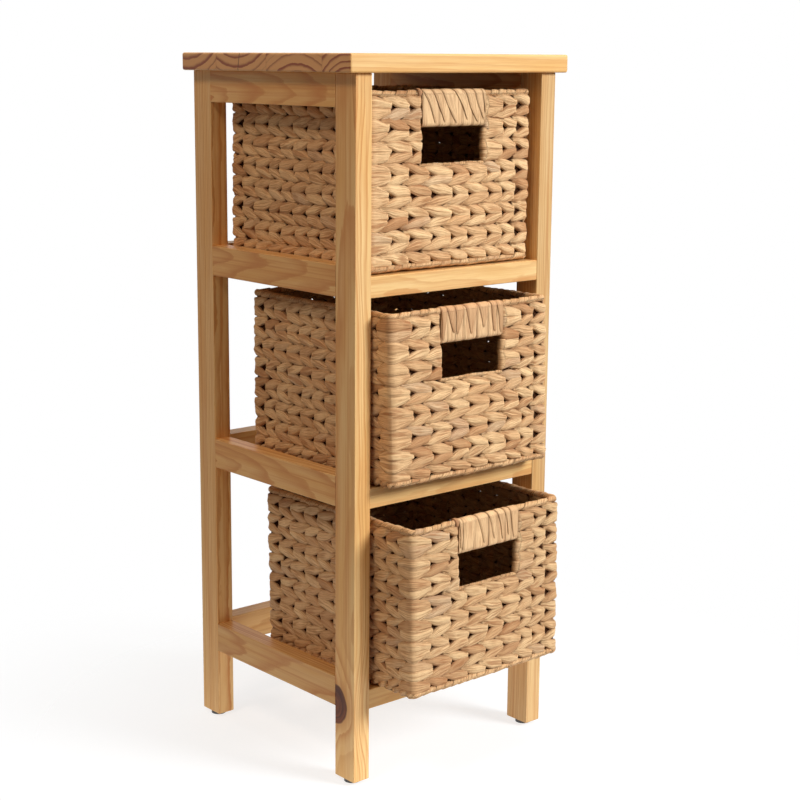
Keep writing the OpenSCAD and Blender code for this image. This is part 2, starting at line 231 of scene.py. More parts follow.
class Pine(Surface):
    """Solid pine, in millimetres: a runs along the grain, and b and c across it."""

    def __init__(self, name, grain, seed, staves):
        super().__init__(name)
        self.axes = {"x": (0, 1, 2), "y": (1, 0, 2), "z": (2, 0, 1)}[grain]
        self.xyz = [self.times(output, 1000.0) for output in self.separate(self.place)]
        self.a, self.b, self.c = (self.xyz[axis] for axis in self.axes)
        self.shift = seed * 37.0
        self.across = self.b, self.c
        if staves:
            self.divide(staves)

    def divide(self, staves):
        """Measures b and c from the pith of the stave that a point lies in."""
        stops, start = [], 0.0
        for i, (stop, pith_b, pith_c) in enumerate(staves):
            pith = ((pith_b - STAVES_LOW) / STAVES_SPAN, (pith_c - PITHS_LOW) / STAVES_SPAN)
            stops.append((start, (*pith, i * 0.37 % 1)))
            start = (stop - STAVES_LOW) / STAVES_SPAN
        at = self.line(self.b, 1 / STAVES_SPAN, -STAVES_LOW / STAVES_SPAN)
        pith_b, pith_c, chance = self.separate(self.ramp(at, stops, "CONSTANT"))
        self.b = self.minus(self.b, self.line(pith_b, STAVES_SPAN, STAVES_LOW))
        self.c = self.minus(self.c, self.line(pith_c, STAVES_SPAN, PITHS_LOW))
        self.shift = self.times(chance, 300.0)

    def grained(self, along, across, detail, rough):
        """Noise of these frequencies, drawn out along the grain."""
        place = self.combine(self.line(self.a, along, self.shift),
                             self.times(self.b, across), self.times(self.c, across))
        return self.noise(place, 1.0, detail, rough)

    def years(self, pith, ring, tilt, stray, ripple, push):
        """How dark the year rings are at a point. push moves them outwards round a knot."""
        wander = self.line(self.grained(0.0035, 0.02, 2.0, 0.55), stray, -stray / 2)
        b = self.plus(self.plus(self.line(self.a, tilt, -pith[0]), self.b), wander)
        c = self.plus(self.line(self.a, tilt * 0.6, -pith[1]), self.c)
        radius = self.plus(self.length(b, c), ripple)
        if push:
            radius = self.plus(radius, push)
        year = self.math("DIVIDE", radius, ring)
        widths = self.noise(self.combine(self.times(year, 0.23), self.shift, 0.0), 1.0, 1.0)
        year = self.plus(year, self.times(widths, 3.0))
        strength = self.line(self.white(self.math("FLOOR", year)), 0.7, 0.3)
        return self.times(self.ramp(self.math("FRACT", year), YEAR), strength)

    def end_face(self):
        """1 where the board is cut across its grain."""
        along = self.add("VectorMath", operation="DOT_PRODUCT")
        grain = [float(axis == self.axes[0]) for axis in range(3)]
        self.fill(along, self.add("NewGeometry").outputs["True Normal"], grain)
        return self.step(self.math("ABSOLUTE", along.outputs["Value"]), 0.6, 0.9)

    def joints(self, colour, staves, end, ripple):
        """The glue lines between staves, and a crack in the end grain."""
        near = 9.0
        for stop, _, _ in staves[:-1]:
            near = self.math("MINIMUM", near, self.gap(self.across[0], stop))
        colour = self.mix(self.step(near, 0.1, 0.5, 0.5, 0.0), colour, END_LATE)
        y, z = CRACK_AT
        crack = self.line(self.across[1], CRACK_SLOPE, y - CRACK_SLOPE * z)
        crack = self.plus(crack, self.times(ripple, 0.3))
        crack = self.step(self.gap(self.across[0], crack), 0.3, 0.9, 0.85, 0.0)
        return self.mix(self.times(crack, end), colour, CRACK)

    def knot(self, colour, reach, rise):
        """A knot whose edge is at a reach of 1, with tight rings and a paler halo."""
        reach = self.plus(reach, self.line(self.noise(self.place, 70.0, 1.0), 0.16, -0.08))
        rings = self.noise(self.combine(self.times(reach, 5.0), self.shift, self.times(rise, 0.6)), 1.0, 2.0)
        body = self.mix(self.step(rings, 0.3, 0.7), *KNOT)
        colour = self.mix(self.step(reach, 0.92, 1.7, 0.45, 0.0), colour, KNOT_HALO)
        colour = self.mix(self.step(reach, 0.9, 1.0, 1.0, 0.0), colour, body)
        edge = self.step(self.gap(reach, 0.95), 0.0, 0.07, 1.0, 0.0)
        return self.mix(self.times(edge, 0.5), colour, KNOT_EDGE)


def pine(name, grain, pith, ring=4.0, seed=0.0, tilt=0.012, staves=None, knot=None, contrast=1.0,
         stray=26.0, tint=None):
    """A board's material. pith is the rings' middle across the grain, ring a year's width, and
    stray how far the pith wanders. A stave is where it ends across the grain and its own pith,
    and a knot its middle and its half sizes, in y and z. All are in millimetres."""
    g = Pine(name, grain, seed, staves)
    ripple = g.line(g.grained(0.02, 0.09, 3.0, 0.6), 3.2, -1.6)
    push = None
    if knot:
        side, rise = (g.math("DIVIDE", g.minus(g.xyz[i + 1], knot[i]), knot[i + 2]) for i in (0, 1))
        reach = g.length(side, rise)
        push = g.step(reach, 0.6, 3.6, 11.0, 0.0)
    late = g.years(pith, ring, tilt, stray, ripple, push)
    fine = g.grained(0.035, 2.6, 4.0, 0.62)
    broad = g.grained(0.006, 0.06, 2.0, 0.5)
    streak = g.grained(0.003, 0.30, 2.0, 0.55)
    face = g.mix(g.step(broad, 0.3, 0.7), PALE, HONEY)
    face = g.mix(g.times(late, 0.66 * contrast), face, LATE)
    face = g.mix(g.times(g.step(streak, 0.46, 0.7), 0.42 * contrast), face, STREAK)
    end = g.end_face()
    colour = g.mix(end, face, g.mix(g.step(late, 0.16, 0.72), END_PALE, END_LATE))
    colour = g.mix(g.step(fine, 0.32, 0.72, 0.0, 0.30), colour, g.mix(1.0, colour, FIBRE, "MULTIPLY"))
    # tint multiplies the colour; on the front right leg and the lower rails it also darkens them as painted
    # shade.
    if tint:
        colour = g.mix(1.0, colour, tint, "MULTIPLY")
    if staves:
        colour = g.joints(colour, staves, end, ripple)
    if knot:
        colour = g.knot(colour, reach, rise)
    g.shade(Base_Color=colour, Roughness=g.line(fine, 0.22, 0.34), Coat_Weight=0.06, Coat_Roughness=0.28,
            Specular_IOR_Level=0.22)
    g.bump(g.plus(g.times(fine, 0.6), g.times(late, 0.5)), 0.35, 0.00012)
    return g.material


# Metal, plastic and dried stems

def metal(name, colour, rough, fleck):
    g = Surface(name)
    grain = g.noise(g.place, 900.0, 3.0, 0.6)
    spots = g.step(g.noise(g.place, 120.0, 2.0), 0.5, 0.75)
    g.shade(Base_Color=g.mix(spots, colour, fleck), Metallic=0.9, Roughness=g.line(grain, 0.25, rough))
    g.bump(grain, 0.2, 0.00005)
    return g.material


def plastic(name, colour):
    g = Surface(name)
    grain = g.noise(g.place, 1500.0, 2.0)
    paler = tuple(c * 1.35 for c in colour)
    g.shade(Base_Color=g.mix(g.noise(g.place, 60.0, 2.0), colour, paler), Roughness=g.line(grain, 0.2, 0.45))
    g.bump(grain, 0.25, 0.00004)
    return g.material


# The pale, middle, brown and grey tones of the stems in each use, and two tones that all share: a brown for
# the stems' sides, partly their own brown and partly painted shade, and a painted shade for the hollows
WOVEN = ((253, 214, 161), (232, 186, 135), (174, 114, 68), (214, 184, 152))
WRAPPED = ((241, 200, 148), (220, 173, 123), (168, 110, 68), (200, 170, 138))
STRIPS = ((246, 206, 156), (228, 184, 136), (172, 110, 72), (212, 184, 152))
STEM_EDGE_BROWN_AND_PAINTED_SHADE = linear(122, 70, 40)
# painted shade for the hollows and for the side towards the basket
STEM_HOLLOW_PAINTED_SHADE = linear(46, 16, 8)


def stem(name, tones, shade=1.0, dark=0.97, fibrous=1.0):
    """Dried water hyacinth. The meshes store its tone and kind for each visible turn of a stem,
    u along it, v round it, deep, which is 0 in the hollows and lower on the side towards the basket,
    where shade is painted in, and edge, which is 1 at its sides, where the colour turns browner,
    partly the stem's own brown and partly painted shade. shade darkens all the tones as painted
    shade, and dark is how dark the painted shade in the hollows gets."""
    g = Surface(name)
    pale, mid, brown, grey = (tuple(c * shade for c in linear(*tone)) for tone in tones)
    tone, kind, u, v, deep, edge = (g.attribute(key) for key in ("tone", "kind", "u", "v", "deep", "edge"))
    fibre_at = g.combine(g.times(u, 55.0), g.times(v, 26.0), g.times(tone, 40.0))
    fibre = g.noise(fibre_at, 1.0, 4.0, 0.62, 0.3)
    crease_at = g.combine(g.times(u, 30.0), g.times(v, 7.0), g.line(tone, 31.0, 5.0))
    crease = g.noise(crease_at, 1.0, 2.0, 0.5, 0.4)
    blotch = g.noise(g.place, 55.0, 3.0, 0.6)
    paler = tuple(min(1.0, c * 1.18) for c in pale)
    base = g.ramp(tone, [(0.0, mid), (0.3, pale), (0.75, pale), (1.0, mid)])
    # The last two marks are painted shade: the sides' brown in part, and the dark hollows wholly.
    for amount, colour in (
            (g.step(kind, 0.84, 1.0, 0.0, 0.62), brown),
            (g.step(kind, 0.0, 0.10, 0.55, 0.0), grey),
            (g.step(blotch, 0.46, 0.72, 0.0, 0.6), mid),
            (g.step(fibre, 0.34, 0.58, 0.62 * fibrous, 0.0), brown),
            (g.step(fibre, 0.58, 0.8, 0.0, 0.45), paler),
            (g.step(crease, 0.34, 0.46, 0.6 * fibrous, 0.0), brown),
            (g.times(edge, 0.56), STEM_EDGE_BROWN_AND_PAINTED_SHADE),
            (g.step(deep, 0.0, 0.8, dark, 0.0), STEM_HOLLOW_PAINTED_SHADE)):
        base = g.mix(amount, base, colour)
    # The specular level fades out in the painted-shade hollows too.
    g.shade(Base_Color=base, Roughness=g.line(fibre, 0.25, 0.48),
            Specular_IOR_Level=g.step(deep, 0.05, 0.9, 0.0, 0.22))
    g.bump(g.line(fibre, 0.45, crease), 0.9, 0.0016)
    return g.material


# Meshes

def build(name, parts, material):
    """One object from (vertices in millimetres, quads, {attribute: values}) parts."""
    verts, quads, attributes, base = [], [], {}, 0
    for part_verts, part_quads, values in parts:
        verts.append(part_verts)
        quads.append(part_quads + base)
        base += len(part_verts)
        for key, value in values.items():
            attributes.setdefault(key, []).append(value)
    verts = np.concatenate(verts) * MM
    quads = np.concatenate(quads).astype(np.int32)
    mesh = bpy.data.meshes.new(name)
    mesh.vertices.add(len(verts))
    mesh.vertices.foreach_set("co", verts.astype(np.float32).ravel())
    mesh.loops.add(quads.size)
    mesh.loops.foreach_set("vertex_index", quads.ravel())
    mesh.polygons.add(len(quads))
    mesh.polygons.foreach_set("loop_start", np.arange(0, quads.size, 4, dtype=np.int32))
    mesh.polygons.foreach_set("use_smooth", np.ones(len(quads), bool))
    for key, values in attributes.items():
        data = mesh.attributes.new(key, "FLOAT", "POINT")
        data.data.foreach_set("value", np.concatenate(values).astype(np.float32))
    mesh.update(calc_edges=True)
    mesh.validate()
    return add_piece(name, mesh, material)


def add_piece(name, mesh, material):
    mesh.materials.append(material)
    piece = bpy.data.objects.new(name, mesh)
    bpy.context.scene.collection.objects.link(piece)
    return piece


def tube_quads(rings, ring, closed):
    """The faces between rings of points. The last ring joins the first where the tube is closed."""
    i, j = np.meshgrid(np.arange(rings if closed else rings - 1), np.arange(ring), indexing="ij")
    next_i, next_j = (i + 1) % rings, (j + 1) % ring
    corners = (i * ring + j, next_i * ring + j, next_i * ring + next_j, i * ring + next_j)
    return np.stack(corners, -1).reshape(-1, 4)


SIDEWAYS, UPWARDS = (1.0, 0.0, 0.0), (0.0, 0.0, 1.0)
TAPER = 0.35  # how full a stem's ends are


def sweep(centre, normal, up, thick, height, along, tone, kind, deep, closed=True, ring=10, ridge=0.2,
          shear=(0.0, 0.0, 0.0), phase=0.0, square=1.0, inside=None, soft=0.0):
    """A flattened stem along centre. normal points out of the wall and up lies in it.

    thick and height are half sizes in those directions. ridge is the depth of its ridges, phase
    turns them, shear slants its section and square under 1 makes it fuller. deep runs from 0, full
    painted shade, to 1, none, and inside is how light the side towards the basket is, as painted
    shade. soft fades the dark edges, which are partly painted shade. Where something is the same
    all along, one number or one arrow does."""
    n = len(centre)
    normal, up, shear = (np.broadcast_to(arrow, (n, 3)) for arrow in (normal, up, shear))
    thick, height, along, tone, kind, deep, phase = (
        np.broadcast_to(value, n) for value in (thick, height, along, tone, kind, deep, phase))
    turn = np.arange(ring) * 2 * math.pi / ring
    out, side = (np.sign(way) * np.abs(way) ** square for way in (np.cos(turn)[None], np.sin(turn)[None]))
    lumps = np.sin(3 * turn + phase[:, None]) * 0.6 + np.sin(5 * turn - 1.7 * phase[:, None]) * 0.4
    swell = 1 + ridge * lumps
    across = height[:, None] * side * (0.5 + 0.5 * swell)
    points = centre[:, None] + normal[:, None] * (thick[:, None] * out * swell)[..., None]
    points = points + (up + shear)[:, None] * across[..., None]
    if not closed:
        for end in (0, -1):
            points[end] = centre[end] + (points[end] - centre[end]) * TAPER
    # Painted shade: deep darkens the hollows, and the side towards the basket takes the lightness inside.
    within = np.zeros(ring) if inside is None else smooth(0.1, 0.7, -np.cos(turn))
    light = deep[:, None] * (1 - within) + (inside or 0) * within
    # The sides darken, partly as the stem's own brown and partly as painted shade.
    edge = np.abs(np.sin(turn)) ** 4 * (1 - soft) * np.ones((n, 1))
    values = {
        "u": np.repeat(along * MM, ring), "v": np.tile(1 - np.abs(turn / math.pi - 1), n),
        "tone": np.repeat(tone, ring), "kind": np.repeat(kind, ring),
        "deep": light.ravel(), "edge": edge.ravel(),
    }
    return points.reshape(-1, 3), tube_quads(n, ring, closed), values


def smooth(low, high, x):
    share = np.clip((x - low) / (high - low), 0, 1)
    return share * share * (3 - 2 * share)


def flat(arrows):
    """Arrows of x and y with a z of 0."""
    return np.column_stack([arrows, np.zeros(len(arrows))])


def lookup(seed, *keys):
    """Repeatable numbers from 0 to 1 for whole-number keys. Each use adds its own number to a seed."""
    chance = np.full(np.broadcast(*keys).shape, seed * 0.6180339887 + 0.137)
    for i, key in enumerate(keys):
        mixed = chance * 91.345 + (np.asarray(key, float) + 3.1) * (12.9898 + 7.233 * i)
        chance = np.modf(np.abs(np.sin(mixed) * 43758.5453))[0]
    return chance


# Baskets, in millimetres from the middle of the underside of a basket's base

DEPTH = 229
WALL = 8                                 # the thickness of the walls
CORNER = 4.0                             # the radius of the walls' middle line at the corners
TALL = 173.5
ROWS = 15
ROWS_LOW, ROWS_HIGH = 8.0, 168.0
ROW_TALL = (ROWS_HIGH - ROWS_LOW) / ROWS
LOW_RIM, TOP_RIM = 5.75, 170.25          # the wires in the rims
HOLE_LOW, HOLE_HIGH, HOLE_HALF = 104.0, 139.0, 40.0
HOLE_WIRE = 44.4                         # from the middle to the wires beside the hand hole
BESIDE_HOLE, BESIDE_GRIP = 45.0, 46.5    # from the middle to where rows turn back
RIM_WIRE, UPRIGHT_WIRE, CROSS_WIRE = 1.75, 1.4, 1.0  # radii
GRIP_WIDE = 83.0
BACK_ROOM = 1.4                          # how far the back is drawn in, to keep off the back rails

# The stretches of the walls' middle line, from the middle of the front left corner and round by the
# right: their corners, and the ways that their starts face, in quarter turns from the right. Even
# ones bend round their corner, and the others run straight on from it.
CORNERS = np.array([(-1, -1), (-1, -1), (1, -1), (1, -1), (1, 1), (1, 1), (-1, 1), (-1, 1), (-1, -1)])
FACING = np.array([2.5, 3, 3, 0, 0, 1, 1, 2, 2])

# Where the two stems of a row cross, on the way right along the front and on the way back along the
# left side. The first is for a front as wide as CROSSED_WIDTH.
RIGHT, LEFT = 1, 2
CROSSED_WIDTH = 208
FRONT_CROSSINGS = (24, 49, 75, 101, 124, 148, 168, 186)
LEFT_CROSSINGS = {
    "upper": (12, 31, 53, 74, 97, 119, 141, 160, 184, 204),
    "middle": (20, 40, 61, 82, 103, 124, 145, 166, 187, 206),
    "lower": (19, 37, 57, 78, 99, 120, 141, 163, 185, 205),
}

# The upper and lower edge of one stem over a full turn. 0 is the middle of its outer lobe, and 1 and
# -1 are the middles of the inner ones.
UPPER_EDGE = ((-1, -0.8, -0.6, -0.3, 0.0, 0.2, 0.5, 0.62, 0.72, 0.84, 1),
              (6.6, 6.6, 5.4, 6.0, 5.9, 4.9, 1.3, 1.8, 5.6, 6.6, 6.6))
LOWER_EDGE = ((-1, -0.84, -0.72, -0.54, -0.36, -0.14, 0.3, 0.5, 0.62, 0.7, 1),
              (-6.6, -2.6, 0.0, -1.9, -4.7, -6.6, -6.2, -5.4, -4.0, -7.0, -6.6))

# The strips of each grip: its left and right side at the top and then below, from the grip's left
# end, and how far down the grip it shows.
GRIPS = {
    "upper": ((0.0, 12.0, 16.5, 18.0, 0.97), (12.0, 24.8, 28.5, 30.0, 0.95), (25.2, 41.0, 44.5, 46.0, 0.97),
              (41.2, 54.4, 59.5, 61.0, 0.9), (54.8, 67.2, 73.0, 74.6, 0.96), (67.4, 78.6, 81.0, 82.2, 0.9),
              (78.6, 83.0, 82.4, 83.0, 0.7)),
    "middle": ((0.0, 8.0, 0.5, 3.0, 0.97), (6.5, 18.2, 15.5, 17.5, 0.78), (18.4, 31.4, 20.0, 21.0, 0.86),
               (31.4, 49.0, 39.2, 40.2, 0.88), (49.2, 66.2, 55.8, 56.6, 0.74), (66.2, 74.6, 70.0, 73.0, 0.9),
               (74.6, 83.0, 79.5, 83.0, 0.96)),
    "lower": ((0.0, 5.0, 2.0, 4.0, 0.9), (4.6, 24.0, 4.4, 19.0, 0.98), (24.3, 39.8, 34.0, 36.0, 0.9),
              (40.2, 52.2, 48.5, 50.5, 0.85), (52.6, 62.6, 60.5, 62.0, 0.92), (63.0, 70.6, 69.0, 70.5, 0.84),
              (70.8, 83.0, 76.5, 83.0, 0.98)),
}

# How the soft baskets stand: lean is how far the top is to the right of the foot, turn is in degrees,
# side moves the whole, and tuck is how far the back is drawn in at its top.
STANCES = {
    "upper": dict(width=215, seed=3, lean=0.0, turn=0.0, side=0.0, tuck=1.5),
    "middle": dict(width=215, seed=17, lean=-5.0, turn=0.15, side=-0.3, tuck=6.0),
    "lower": dict(width=210, seed=29, lean=-3.5, turn=1.3, side=0.0, tuck=0.0),
}


class Basket:
    """A woven basket. s is a distance along the middle line of its walls, in the order of CORNERS."""

    def __init__(self, level, width, seed, lean, turn, side, tuck):
        self.seed, self.lean, self.side, self.tuck = seed, lean, side, tuck
        self.turn = math.radians(turn)
        self.wide, self.deep = width - WALL, DEPTH - WALL
        low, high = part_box(level + "_basket_base")
        self.place = np.array([(low.x + high.x) / 2, (low.y + high.y) / 2, low.z]) / MM
        arc = math.pi * CORNER / 2
        wide, deep = self.wide - 2 * CORNER, self.deep - 2 * CORNER
        self.bounds = np.cumsum([0, arc / 2, wide, arc, deep, arc, wide, arc, deep, arc / 2])
        self.length = self.bounds[-1]
        self.half = self.bounds[4] + arc / 2  # the middle of the back right corner
        self.waves = np.random.default_rng(seed).normal(0, 1, (4, 6))[:2, :2]
        edge = arc / 2 - CORNER - WALL / 2
        front = [edge + x * width / CROSSED_WIDTH for x in FRONT_CROSSINGS]
        left = [edge + y for y in LEFT_CROSSINGS[level]]
        self.runs = {
            RIGHT: np.concatenate([front, np.linspace(front[-1] + 24, self.half - 15, 9)]),
            LEFT: np.concatenate([left, np.linspace(left[-1] + 25, self.half - 15, 7)]),
        }

    def at(self, x, y, z):
        """Points in the frame's axes."""
        return np.column_stack(np.broadcast_arrays(x, y, z)) + self.place

    def stand(self, points):
        """Leans and turns points of the basket as the soft basket in the photograph stands."""
        x, y, z = (points - self.place).T
        x = x + self.side + self.lean * (z / TALL - 0.5)
        cos, sin = math.cos(self.turn), math.sin(self.turn)
        y = y - (0.5 + y / self.deep) * (BACK_ROOM + sin * x + self.tuck * z / TALL)
        return self.at(cos * x - sin * y, sin * x + cos * y, z)

    def path(self, s):
        """Points at distances s, and the ways outwards and onwards there."""
        s = np.mod(s, self.length)
        stretch = np.clip(np.searchsorted(self.bounds, s, side="right") - 1, 0, len(CORNERS) - 1)
        run = s - self.bounds[stretch]
        bent = stretch % 2 == 0
        angle = FACING[stretch] * math.pi / 2 + np.where(bent, run / CORNER, 0)
        outward = np.stack([np.cos(angle), np.sin(angle)], -1)
        onward = np.stack([-np.sin(angle), np.cos(angle)], -1)
        corner = CORNERS[stretch] * (self.wide / 2 - CORNER, self.deep / 2 - CORNER)
        return corner + CORNER * outward + onward * np.where(bent, 0, run)[:, None], outward, onward

    def front_s(self, x):
        """The distance s of a point on the front, x from the basket's middle."""
        return self.bounds[1] + x + self.wide / 2 - CORNER

    def row_z(self, row, middle):
        """A row's wavy middle line. The rows below the hand hole sag a little under it."""
        level = ROWS_LOW + (row + 0.5) * ROW_TALL
        x, y = (middle / 60).T
        (slow_x, slow_y), (quick_x, quick_y) = self.waves
        bend = 0.7 * (np.sin(x * 1.3 + slow_x + row * 0.22) + np.sin(y * 1.7 + slow_y + row * 0.18))
        bend += 0.22 * (np.sin(x * 3.1 + quick_x + row * 1.9) + np.sin(y * 3.3 + quick_y + row * 2.3))
        z = level + bend * min(1, min(row + 0.3, ROWS - 0.7 - row) / 2)
        if level < HOLE_LOW:
            x, y = middle.T
            under = np.exp(-((z - HOLE_LOW + 4) / 12) ** 2) * (y < -self.deep / 2 + 6)
            z = z - 2.6 * under * np.clip((HOLE_HALF + 14 - np.abs(x)) / 14, 0, 1)
        return z

    def crossings(self, row, run, hole):
        """Where a row's stems cross on one way round, and their phase there. Beside the hand hole,
        the phase of the turns that are left out passes at once."""
        base = self.runs[run]
        count = np.arange(len(base))
        pair = (row + 1) // 2
        stray = (lookup(self.seed, count, pair, run) - 0.5) * 5.0
        stray = stray + (lookup(self.seed + 9, count, row, run) - 0.5) * 3.0
        stray[7] *= 0.3
        places = np.concatenate([[0], base + stray, [self.half]])
        phases = np.concatenate([[0], (count + 0.5) * math.pi, [len(base) * math.pi]])
        if run == RIGHT and hole:
            left, right = hole
            places = np.concatenate([places[:3], [left, left + 1.0, right], places[7:]])
            passed = [2 * math.pi, 6 * math.pi - 0.01, 6 * math.pi]
            phases = np.concatenate([phases[:3], passed, phases[7:]])
        return places, phases

    def stem_row(self, row, s, strand, hole=None):
        """Everything along one of a row's two stems, at distances s."""
        s = np.mod(s, self.length)
        on_left = s > self.half
        t = np.where(on_left, self.length - s, s)
        phase = np.empty_like(t)
        for run, mask in ((RIGHT, ~on_left), (LEFT, on_left)):
            phase[mask] = np.interp(t[mask], *self.crossings(row, run, hole))

        # u runs from -1 to 1 over each turn of the stem, and each turn that shows has its own code.
        turns = phase / math.pi + strand
        turn = 2 * np.round(turns / 2)
        u = turns - turn
        place = turn - strand
        shared = (place == 0) | (place > 16.5)
        code = turn + np.where(u > 0.68, 1, 0) - np.where(u < -0.86, 1, 0) + 100 * (on_left & ~shared)

        def chance(number):
            return lookup(self.seed + number, code, row, strand)

        size, start, bow = chance(3), chance(4), chance(6) - 0.5
        late = np.where(on_left, place == 10, place == 8) * (0.12 + 0.10 * size)
        gone = u + 0.07 * (size - 0.5)
        come = u + 0.09 * (start - 0.5) - late
        face = 2 * smooth(-0.88, -0.40, come) * (1 - smooth(0.46, 0.72, gone)) - 1
        shown = np.clip(face, 0, 1)
        near = np.exp(-(t / 12) ** 2)  # 1 at the front left corner
        far = 1 - near

        lean = 1.0 if row % 2 == 0 else -1.0
        dip = smooth(0.15, 0.42, gone) * (1 - smooth(0.62, 0.74, gone))
        high = np.interp(gone, *UPPER_EDGE) + dip * (0.5 + 3.4 * np.clip(chance(15) - 0.3, 0, 1))
        low = np.interp(come, *LOWER_EDGE)
        arch = 1.2 * bow + 0.9 * bow * np.sin(2.6 * u + 9 * size)
        slant = lean * 2.6 * np.clip(u, -0.7, 0.7) * far
        rise = lean * (high + low) / 2 + (arch - slant) * shown
        belly = 0.4 * np.cos(np.clip(u / 0.62, -1, 1) * math.pi / 2) * shown * far
        ends = np.clip(np.minimum(t - 2, self.half - t - 2) / 14, 0, 1)
        middle, outward, onward = self.path(s)
        # deep paints shade where each turn goes into the wall, in the pockets between the turns.
        return dict(
            s=s, middle=middle, outward=outward, onward=onward, z=self.row_z(row, middle) + rise,
            reach=(1.5 - 0.5 * near + 0.9 * (start - 0.5)) * face + belly,
            height=np.maximum((high - low) / 2, 0.6) * (0.96 + 0.18 * size + 0.14 * near),
            thick=2.75 - 0.2 * (1 - np.abs(face)) + 0.5 * (size - 0.5) - 0.6 * near * shown,
            shear=-lean * 0.30 * shown * np.where(on_left, -1.0, 1.0) * ends,
            deep=0.04 + 0.96 * smooth(-0.86, -0.60, come) * (1 - smooth(0.56, 0.68, gone)),
            tone=chance(5), kind=chance(7), square=0.88 - 0.3 * near, twist=chance(13) * 6.28)

    def turn_round(self, one, other, way):
        """The half turn round the wire beside the hand hole, from one stem's end to the other's start."""
        one = {key: values[-1] for key, values in one.items()}
        other = {key: values[0] for key, values in other.items()}
        count = 7
        share = (np.arange(count) + 1) / (count + 1)
        angle = share * math.pi if way > 0 else math.pi - share * math.pi
        to_hole = 1.0 if one["middle"][0] < 0 else -1.0
        outward = np.column_stack([np.sin(angle) * to_hole, -np.cos(angle)])
        bend = {key: np.full(count, one[key]) for key in ("s", "tone", "kind", "square", "twist")}
        for key in ("z", "height", "thick", "shear", "deep"):
            bend[key] = one[key] * (1 - share) + other[key] * share
        bend["thick"] -= 0.3 * np.sin(angle)
        bend["middle"] = np.tile(one["middle"], (count, 1))
        bend["outward"] = outward
        bend["onward"] = np.column_stack([-outward[:, 1], outward[:, 0]])
        reach = abs(one["reach"]) * (1 - share) + abs(other["reach"]) * share
        bend["reach"] = reach + 1.5 * np.sin(angle)
        return bend

    def loop(self, stretches):
        """A closed stem of these stretches. Its seam is at the back right corner."""
        whole = {key: np.concatenate([stretch[key] for stretch in stretches]) for key in stretches[0]}
        first = int(np.argmin(np.abs(whole["s"] - self.half)))
        whole = {key: np.roll(values, -first, axis=0) for key, values in whole.items()}
        middle = whole["middle"] + whole["outward"] * whole["reach"][:, None]
        centre = np.column_stack([middle, whole["z"]]) + self.place
        along = np.concatenate([[0], np.cumsum(np.linalg.norm(np.diff(centre, axis=0), axis=1))])
        square = whole["square"][:, None]
        # inside=0.45 paints shade on the side towards the basket.
        return sweep(centre, flat(whole["outward"]), UPWARDS, whole["thick"], whole["height"], along,
                     whole["tone"], whole["kind"], whole["deep"], ring=14, ridge=0.22,
                     shear=flat(whole["onward"] * whole["shear"][:, None]),
                     phase=whole["twist"] + along * 0.05, square=square, inside=0.45,
                     soft=2.0 * (0.88 - square))

    def walls(self):
        """Rows of two stems. Beside the hand hole, the two of a row are one stem that turns back."""
        parts = []
        step = 1.5
        for row in range(ROWS):
            high = ROWS_LOW + (row + 1) * ROW_TALL
            if high < HOLE_LOW + 4:
                s = np.arange(0, self.length, step)
                parts += [self.loop([self.stem_row(row, s, strand)]) for strand in (0, 1)]
                continue
            inset = BESIDE_HOLE if high < HOLE_HIGH + 2 else BESIDE_GRIP
            inset += (lookup(self.seed + 21, row, 0) - 0.5) * 1.6
            hole = left, right = self.front_s(-inset), self.front_s(inset)
            s = np.linspace(right, left + self.length, int((self.length - (right - left)) / step))
            there, back = self.stem_row(row, s, 0, hole), self.stem_row(row, s[::-1], 1, hole)
            turns = self.turn_round(there, back, 1), self.turn_round(back, there, -1)
            parts.append(self.loop([there, turns[0], back, turns[1]]))
        return parts

    def wrap(self, z, radius, start, stop, pitch, lift, seed, out=0.0):
        """A wire with a stem wound round it. Each turn laps over the one before by lift."""
        ring = 16
        s = np.linspace(start, stop, int((stop - start) / (1.0)))
        middle, outward, _ = self.path(s)
        middle = middle + outward * out
        angle = np.arange(ring) * 2 * math.pi / ring
        wound = s / pitch + 0.45 * np.sin(s / 37 + seed) + 0.3 * np.sin(s / 17 + 2.3 * seed)
        turns = wound[:, None] - angle / (2 * math.pi)
        turn = np.floor(turns)
        share = turns - turn
        lap = np.clip(share / 0.12, 0, 1) * (1 - 0.75 * np.clip((share - 0.12) / 0.88, 0, 1) ** 1.3)
        reach = (radius - lift) * (0.88 + 0.22 * lookup(seed + 31, turn, 0)) + lift * lap
        sway = 0.35 * np.sin(s / 23 + seed) + 0.25 * np.sin(s / 9 + 2 * seed)
        points = np.zeros((len(s), ring, 3))
        points[..., :2] = middle[:, None] + outward[:, None] * (np.cos(angle) * reach)[..., None]
        points[..., 2] = z + sway[:, None] + np.sin(angle) * reach
        points += self.place
        for end in (0, -1):
            centre = points[end].mean(0)
            points[end] = centre + (points[end] - centre) * 0.2
        # deep paints shade at the start of each turn, tucked under the lap of the turn before.
        values = {
            "u": np.tile(angle * radius * MM, len(s)), "v": share.ravel(),
            "tone": lookup(seed + 5, turn, 0).ravel(), "kind": lookup(seed + 7, turn, 0).ravel(),
            "deep": np.clip(share / 0.1, 0, 1).ravel(), "edge": np.zeros(share.size),
        }
        return points.reshape(-1, 3), tube_quads(len(s), ring, False), values

    def rope(self, z, radius, start, stop, pitch, seed, out):
        """Two stems twisted together."""
        parts = []
        s = np.linspace(start, stop, int((stop - start) / 1.4))
        middle, outward, _ = self.path(s)
        for strand in (0, 1):
            angle = s / pitch * 2 * math.pi + strand * math.pi
            apart = radius * 0.36
            centre = np.column_stack([middle + outward * (out + apart * np.cos(angle))[:, None],
                                      z + apart * np.sin(angle)])
            turn = np.floor(angle / (2 * math.pi))
            size = radius * 0.70 * (0.94 + 0.12 * lookup(seed, turn, strand))
